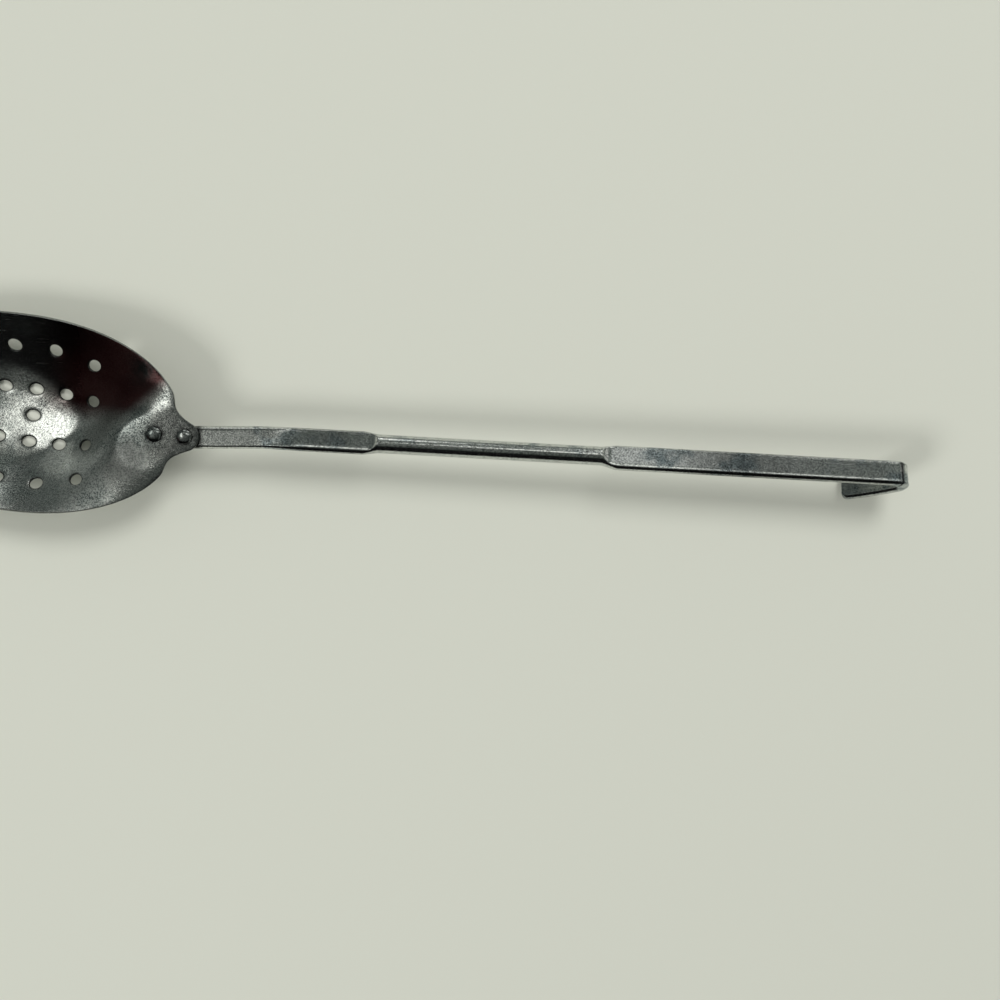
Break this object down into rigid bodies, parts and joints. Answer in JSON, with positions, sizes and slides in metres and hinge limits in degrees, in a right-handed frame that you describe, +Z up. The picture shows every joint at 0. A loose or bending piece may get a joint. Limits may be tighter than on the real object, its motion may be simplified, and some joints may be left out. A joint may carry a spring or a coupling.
{
  "type": "perforated serving spoon",
  "caption": "Long serving spoon with a perforated oval bowl that drains liquid, a flattened steel bar handle riveted to it, and a bent hook for hanging.",
  "frame": {"origin": "on the table that the spoon lies on, under the middle of its overall length and width", "axes": "+X along the handle from the bowl to the hook, +Z up out of the open side of the bowl, +Y across"},
  "size_m": [0.3236, 0.0614, 0.0182],
  "materials": {
    "bowl_steel": "bright plated sheet steel, worn to a satin shine, with fine pits and scratches",
    "handle_steel": "bright plated bar steel, worn, with fine pits and scratches",
    "rivet_steel": "plated rivet steel, smooth domed heads"
  },
  "bodies": {
    "root": {"bowl": "bowl_steel", "handle": "handle_steel", "front_rivet": "rivet_steel", "rear_rivet": "rivet_steel"}
  },
  "joints": []
}
